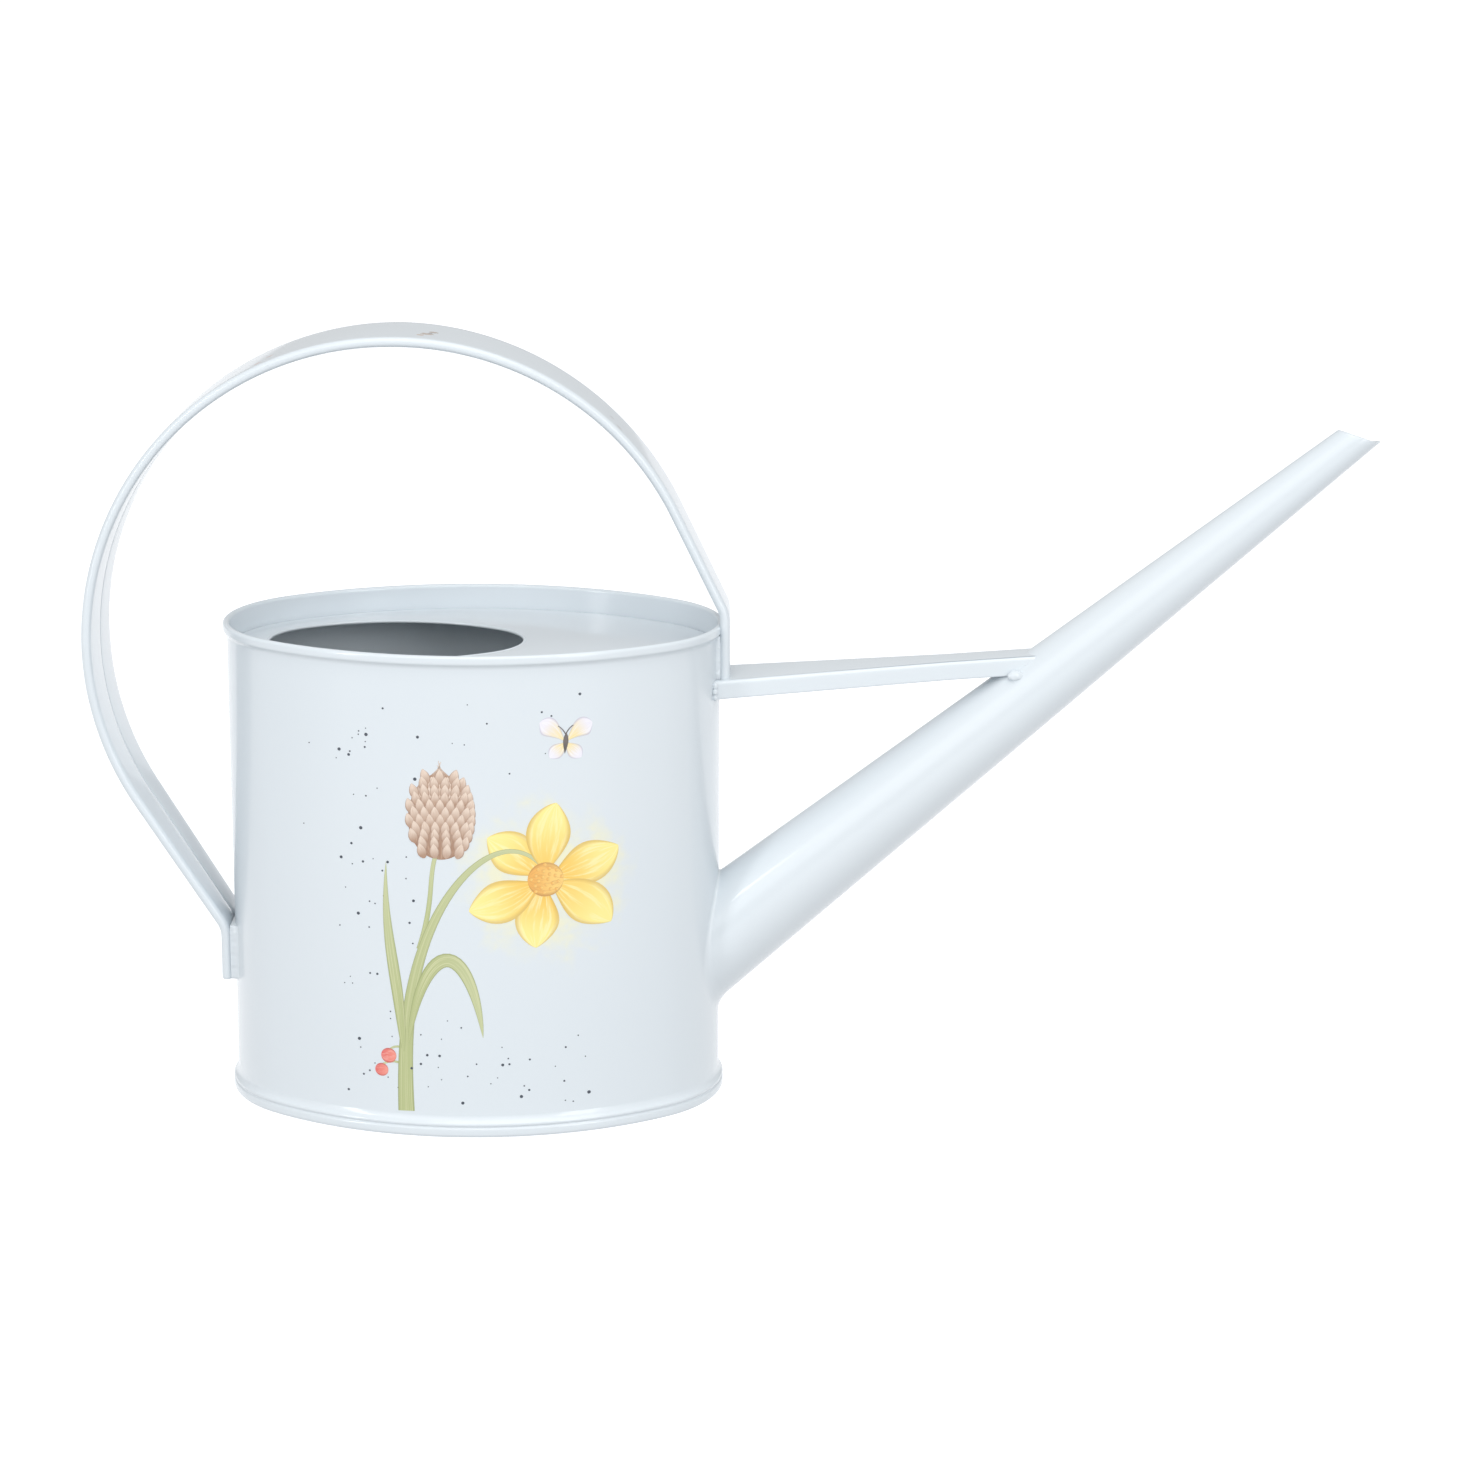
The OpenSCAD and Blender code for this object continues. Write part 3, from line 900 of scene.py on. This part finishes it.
def soft_box(name, azimuth, elevation, distance, size, power, color=(1, 1, 1)):
    """A rectangular light that faces the can, at angles in degrees."""
    data = bpy.data.lights.new(name, "AREA")
    data.shape = "RECTANGLE"
    data.size, data.size_y = size
    data.energy = power
    data.color = color
    light = link(data, name)
    back = way_to(math.radians(azimuth), math.radians(elevation))
    light.location = LIT_PLACE + distance * back
    light.rotation_euler = back.to_track_quat("Z", "Y").to_euler()


def make_studio():
    """Plain soft light over a plain pale floor."""
    scene = bpy.context.scene
    scene.view_settings.view_transform = "Standard"
    world = bpy.data.worlds.new("studio")
    scene.world = world
    world.use_nodes = True
    background = world.node_tree.nodes["Background"]
    background.inputs["Color"].default_value = (0.96, 0.97, 0.985, 1)
    background.inputs["Strength"].default_value = 0.60
    soft_box("left_strip", -47, 12, 1.5, (0.16, 1.3), 5)
    soft_box("right_strip", 36, 14, 1.6, (0.40, 1.3), 6)
    soft_box("front_fill", -8, 35, 2.0, (2.0, 1.5), 9)
    soft_box("top", 20, 70, 1.8, (1.4, 1.4), 11, (1.0, 0.98, 0.95))
    mesh = bpy.data.meshes.new("floor")
    wide, deep = 30, 60
    corners = [(-wide, -deep, 0), (wide, -deep, 0), (wide, deep, 0), (-wide, deep, 0)]
    mesh.from_pydata(corners, [], [(0, 1, 2, 3)])
    floor = link(mesh, "floor")
    # The floor is very bright to the camera, and mustn't wash out the shading of the can.
    floor.visible_diffuse = False
    floor.data.materials.append(floor_material())


# ---------------------------------------------------------------- materials

class Nodes:
    """Short calls for a material's node tree."""

    def __init__(self, name):
        self.material = bpy.data.materials.new(name)
        self.material.use_nodes = True
        self.tree = self.material.node_tree
        self.shader = self.tree.nodes["Principled BSDF"]

    def add(self, kind, **settings):
        node = self.tree.nodes.new(kind)
        for key, value in settings.items():
            if key in node.inputs:
                node.inputs[key].default_value = value
            else:
                setattr(node, key, value)
        return node

    def join(self, source, target):
        self.tree.links.new(source, target)

    def place(self):
        return self.add("ShaderNodeTexCoord").outputs["Object"]

    def apart(self, point):
        """The distance from a fixed point."""
        node = self.add("ShaderNodeVectorMath", operation="DISTANCE")
        self.join(self.place(), node.inputs[0])
        node.inputs[1].default_value = point
        return node.outputs["Value"]

    def noise(self, scale, detail=2, vector=None):
        node = self.add("ShaderNodeTexNoise", Scale=scale, Detail=detail)
        self.join(vector or self.place(), node.inputs["Vector"])
        return node.outputs["Fac"]

    def math(self, operation, first, second=None, third=None):
        node = self.add("ShaderNodeMath", operation=operation)
        for socket, value in zip(node.inputs, (first, second, third)):
            if value is None:
                continue
            if isinstance(value, (int, float)):
                socket.default_value = value
            else:
                self.join(value, socket)
        return node.outputs[0]

    def spread(self, value, low, high, to_low=0.0, to_high=1.0):
        """Maps a range smoothly onto another, clamped."""
        node = self.add("ShaderNodeMapRange", interpolation_type="SMOOTHSTEP")
        self.join(value, node.inputs["Value"])
        for key, number in zip(("From Min", "From Max", "To Min", "To Max"), (low, high, to_low, to_high)):
            node.inputs[key].default_value = number
        return node.outputs["Result"]

    def mix(self, share, first, second):
        """Mixes two colours; a Mix node's colour sockets are found by place, since several share a name."""
        node = self.add("ShaderNodeMix", data_type="RGBA")
        factor, a, b = node.inputs[0], node.inputs[6], node.inputs[7]
        if isinstance(share, (int, float)):
            factor.default_value = share
        else:
            self.join(share, factor)
        for socket, value in ((a, first), (b, second)):
            if isinstance(value, tuple):
                socket.default_value = (*value, 1)
            else:
                self.join(value, socket)
        return node.outputs[2]

    def bump(self, height, distance, strength, before=None):
        node = self.add("ShaderNodeBump", Distance=distance, Strength=strength)
        self.join(height, node.inputs["Height"])
        if before:
            self.join(before, node.inputs["Normal"])
        return node.outputs["Normal"]


def floor_material():
    """A matt floor that glows a little, so that it reads as plain white paper."""
    n = Nodes("pale_floor")
    tone = n.mix(n.noise(3, 4), (0.50, 0.505, 0.51), (0.53, 0.535, 0.54))
    n.join(tone, n.shader.inputs["Base Color"])
    n.shader.inputs["Roughness"].default_value = 0.9
    n.shader.inputs["Specular IOR Level"].default_value = 0.1
    n.shader.inputs["Emission Color"].default_value = (0.97, 0.98, 1.0, 1)
    n.shader.inputs["Emission Strength"].default_value = 0.80
    return n.material


PAINT = (0.705, 0.76, 0.80)
PAINT_DEEP = (0.695, 0.753, 0.795)


def gloss(n, roughness, coat, coat_roughness):
    """A clear coat over a slightly uneven base."""
    n.join(roughness, n.shader.inputs["Roughness"])
    n.shader.inputs["Specular IOR Level"].default_value = 0.5
    n.shader.inputs["Coat Weight"].default_value = coat
    n.shader.inputs["Coat Roughness"].default_value = coat_roughness


def orange_peel(n):
    """The fine pebbling of sprayed gloss paint over a slower unevenness."""
    slow = n.bump(n.noise(16, 0), 0.12 * MM, 0.5)
    return n.bump(n.noise(600, 0), 0.004 * MM, 0.5, slow)


def paint_color(n):
    """Pale blue that drifts between two close tones, with a faint greyer dust."""
    tone = n.spread(n.noise(14, 1), 0.3, 0.7)
    color = n.mix(tone, PAINT, PAINT_DEEP)
    dust = n.spread(n.noise(420, 2), 0.62, 0.8, 0, 0.08)
    return n.mix(dust, color, (0.60, 0.69, 0.77))


def chipped(n, color, chips):
    """Small knocks that show primer and dark steel. Each chip is (place, radius, colour)."""
    for place, radius, shade in chips:
        ragged = n.math("MULTIPLY_ADD", n.noise(1300, 3), radius * 1.6, n.apart(place))
        share = n.spread(ragged, radius * 1.55, radius * 1.75, 1, 0)
        color = n.mix(share, color, shade)
    return color


# Each knock on the handle: degrees round the loop from its top, millimetres across, radius in millimetres
# and colour.
HANDLE_KNOCKS = (
    (6, -6, 1.8, (0.46, 0.36, 0.29)),
    (7, -2, 1.6, (0.40, 0.31, 0.25)),
    (5, -9, 1.3, (0.58, 0.46, 0.38)),
    (6.5, -4.5, 0.7, (0.10, 0.09, 0.09)),
    (-25, -11, 1.4, (0.66, 0.46, 0.42)),
    (-23, -6, 1.3, (0.64, 0.42, 0.38)),
    (45, -8, 1.3, (0.56, 0.57, 0.59)),
    (43, -4, 1.0, (0.56, 0.57, 0.59)),
)


def handle_chips():
    """The knocks placed on the outside of the loop."""
    reach = LOOP_RADIUS + HALF_STRIP
    places = []
    for degrees, across, radius, shade in HANDLE_KNOCKS:
        turn = math.radians(degrees)
        place = (reach * math.sin(turn) - LOOP_BACK, across * MM, LOOP_HEIGHT + reach * math.cos(turn))
        places.append((place, radius * MM, shade))
    return places


def rim_chips():
    """One small grey knock on the front of the rolled rim."""
    return [((17 * MM, -50.5 * MM, rim_height + 1.2 * MM), 0.6 * MM, (0.34, 0.35, 0.37))]


def paint(name, chips=(), wash=False):
    """The can's pale blue gloss paint."""
    n = Nodes(name)
    color = chipped(n, paint_color(n), chips)
    if wash:
        color = flower_wash(n, color)
    n.join(color, n.shader.inputs["Base Color"])
    gloss(n, n.spread(n.noise(16, 1), 0.3, 0.7, 0.28, 0.32), 0.55, 0.07)
    n.join(orange_peel(n), n.shader.inputs["Normal"])
    return n.material


def flower_wash(n, color):
    """A soft uneven yellow wash in the paint around the printed flower."""
    centre = on_wall(np.array(FLOWER[0] * MM), np.array(FLOWER[1] * MM), 0)
    apart = n.apart(tuple(float(c) for c in centre))
    ragged = n.math("MULTIPLY_ADD", n.noise(170, 4), 22 * MM, apart)
    near = n.spread(ragged, 24 * MM, 40 * MM, 1, 0)
    patchy = n.spread(n.noise(110, 3), 0.36, 0.62, 0.1, 0.55)
    return n.mix(n.math("MULTIPLY", near, patchy), color, (0.93, 0.86, 0.42))


# Each ink's colours: at the base, at the tip, at the edge and in the streaks.
INKS = {
    "ink_green": ((0.42, 0.47, 0.20), (0.52, 0.56, 0.30), (0.24, 0.28, 0.10), (0.70, 0.70, 0.42)),
    "ink_yellow": ((0.90, 0.55, 0.08), (0.97, 0.83, 0.28), (0.62, 0.40, 0.08), (0.98, 0.90, 0.50)),
    "ink_orange": ((0.83, 0.40, 0.07), (0.93, 0.62, 0.18), (0.48, 0.22, 0.05), (0.66, 0.30, 0.06)),
    "ink_brown": ((0.36, 0.20, 0.12), (0.80, 0.66, 0.55), (0.30, 0.16, 0.10), (0.56, 0.38, 0.27)),
    "ink_red": ((0.72, 0.10, 0.09), (0.85, 0.26, 0.20), (0.42, 0.05, 0.05), (0.90, 0.45, 0.38)),
    "ink_wing": ((0.90, 0.72, 0.22), (0.84, 0.82, 0.90), (0.46, 0.44, 0.55), (0.93, 0.92, 0.96)),
    "ink_dark": ((0.07, 0.06, 0.06), (0.12, 0.10, 0.10), (0.05, 0.05, 0.05), (0.20, 0.17, 0.12)),
    "ink_specks": ((0.03, 0.04, 0.06), (0.03, 0.04, 0.06), (0.08, 0.10, 0.13), (0.10, 0.13, 0.16)),
}


def ink(name, streaks=0.6, outline=0.7):
    """Printed ink under the gloss: it runs from base to tip along each patch, streaked and outlined."""
    base, tip, edge, streak = INKS[name]
    n = Nodes(name)
    grain = n.add("ShaderNodeAttribute", attribute_name="grain").outputs["Vector"]
    parts = n.add("ShaderNodeSeparateXYZ")
    n.join(grain, parts.inputs[0])
    along, across, seed = parts.outputs
    color = n.mix(n.spread(along, 0.05, 0.9), base, tip)
    scaled = n.add("ShaderNodeVectorMath", operation="MULTIPLY")
    n.join(grain, scaled.inputs[0])
    scaled.inputs[1].default_value = (2.2, 5.5, 3.7)
    lines = n.spread(n.noise(1.0, 4, scaled.outputs[0]), 0.46, 0.66, 0, streaks)
    color = n.mix(lines, color, streak)
    tint = n.math("FRACT", n.math("MULTIPLY", seed, 1.618))
    color = n.mix(n.math("MULTIPLY", tint, 0.25), color, tip)
    rim = n.spread(n.math("ABSOLUTE", across), 0.7, 1.0, 0, outline)
    color = n.mix(rim, color, edge)
    n.join(color, n.shader.inputs["Base Color"])
    gloss(n, n.spread(n.noise(16, 1), 0.3, 0.7, 0.30, 0.34), 0.5, 0.08)
    return n.material


def steel():
    """The bare wire sealed inside the rim."""
    n = Nodes("rim_wire_steel")
    color = n.mix(n.noise(400, 4), (0.42, 0.42, 0.43), (0.58, 0.58, 0.59))
    n.join(color, n.shader.inputs["Base Color"])
    n.join(n.spread(n.noise(900, 2), 0.3, 0.7, 0.3, 0.45), n.shader.inputs["Roughness"])
    n.shader.inputs["Metallic"].default_value = 1.0
    return n.material


# ---------------------------------------------------------------- assembly

def finish_piece(piece, material, slot, *nodes):
    """Gives a piece its material and its body, and hides the CAD nodes that it stands for. The slot argument
    is not used.
    """
    piece.data.materials.clear()
    piece.data.materials.append(material)
    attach(piece, "root")
    if nodes:
        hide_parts(*nodes)


make_camera()
make_studio()

plain = paint("gloss_paint")
finish_piece(make_wall(), paint("gloss_paint_wall", rim_chips(), True), "paint", "body_wall")
finish_piece(make_base(), plain, "paint", "base_pan")
finish_piece(make_cover(), plain, "paint", "top_cover")
finish_piece(make_spout(), plain, "paint", "spout")
finish_piece(make_root_bead(), plain, "painted_joint", "spout_solder")
finish_piece(make_brace(), plain, "paint", "spout_brace")
finish_piece(make_handle(), paint("gloss_paint_handle", handle_chips()), "paint", "handle")

low = REAR_TAB_END + 0.2 * MM
rear_filler = gap_filler("rear_gap_filler", -1, 12.2 * MM, 14.6 * MM, low, REAR_TAB_END + 17 * MM)
finish_piece(rear_filler, plain, "painted_joint", "rear_tab_welds")
low = FRONT_TAB_END + 0.2 * MM
front_filler = gap_filler("front_gap_filler", 1, 8.2 * MM, 9.4 * MM, low, rim_height - 1.6 * MM)
finish_piece(front_filler, plain, "painted_joint", "front_tab_welds")
drop = Vector((0.8, 0.8, 1.1)) * MM
foot_drops = weld_drops("foot_weld_drops", "brace_foot_welds", drop, 0.93, 1.7 * MM)
finish_piece(foot_drops, plain, "painted_joint", "brace_foot_welds")
drop = Vector((2.4, 1.7, 1.6)) * MM
tip_drops = weld_drops("tip_weld_drops", "brace_tip_welds", drop, 0.74, 4 * MM)
finish_piece(tip_drops, plain, "painted_joint", "brace_tip_welds")

finish_piece(stems_and_leaves(), ink("ink_green"), "paint")
finish_piece(flower_petals(), ink("ink_yellow"), "paint")
finish_piece(flower_centre(), ink("ink_orange"), "paint")
finish_piece(seed_head(), ink("ink_brown"), "paint")
finish_piece(berries(), ink("ink_red"), "paint")
finish_piece(butterfly(), ink("ink_wing"), "paint")
finish_piece(butterfly_body(), ink("ink_dark"), "paint")
finish_piece(specks(), ink("ink_specks", streaks=0.4, outline=0.3), "paint")

rim_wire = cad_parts["rim_wire"]
rim_wire.data.materials.clear()
rim_wire.data.materials.append(steel())
